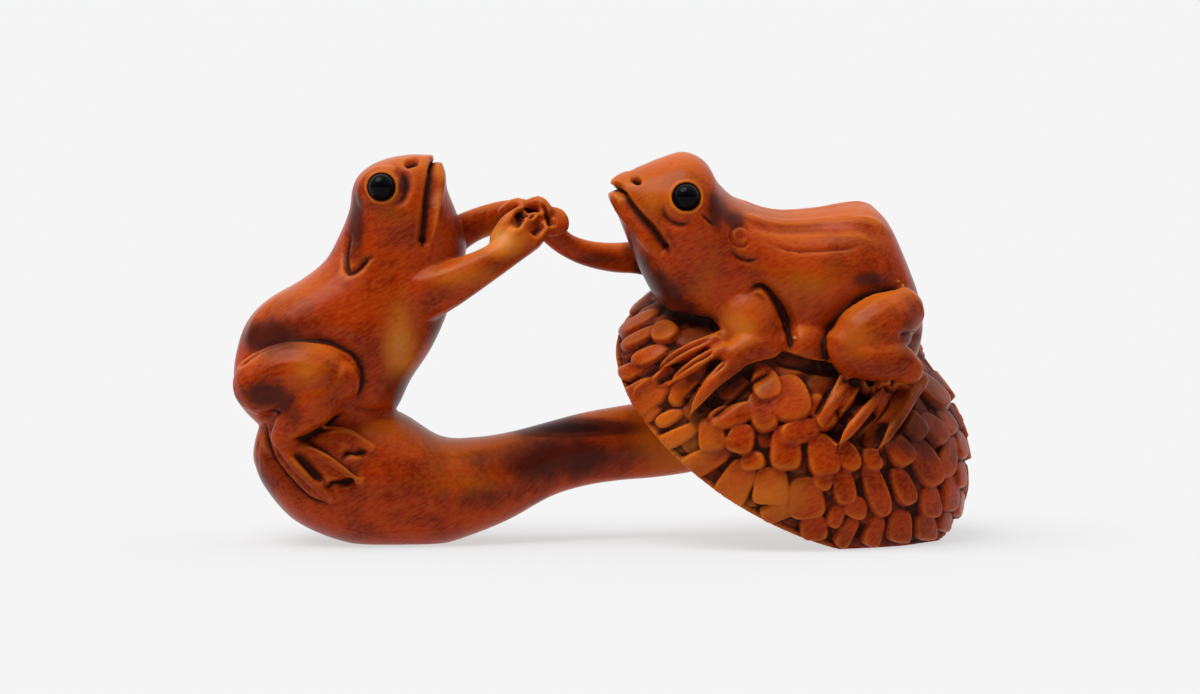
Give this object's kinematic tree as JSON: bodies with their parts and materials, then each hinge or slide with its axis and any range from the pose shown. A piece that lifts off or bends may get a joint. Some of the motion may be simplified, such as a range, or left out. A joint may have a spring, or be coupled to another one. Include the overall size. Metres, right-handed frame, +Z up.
{
  "type": "netsuke",
  "caption": "Carved boxwood netsuke of two frogs holding hands on a mushroom, with inlaid black bead eyes.",
  "frame": {"origin": "middle of the underside of the netsuke's box, on the surface it rests on", "axes": "+X from the bulb and left frog to the cap and right frog, +Y from the front to the back, +Z up"},
  "size_m": [0.0562, 0.0244, 0.0296],
  "materials": {
    "stained_boxwood": "polished, stained orange-brown",
    "eye_bead": "polished black"
  },
  "bodies": {
    "root": {"netsuke_carving": "stained_boxwood", "left_frog_near_eye": "eye_bead", "left_frog_far_eye": "eye_bead", "right_frog_near_eye": "eye_bead", "right_frog_far_eye": "eye_bead"}
  },
  "joints": []
}
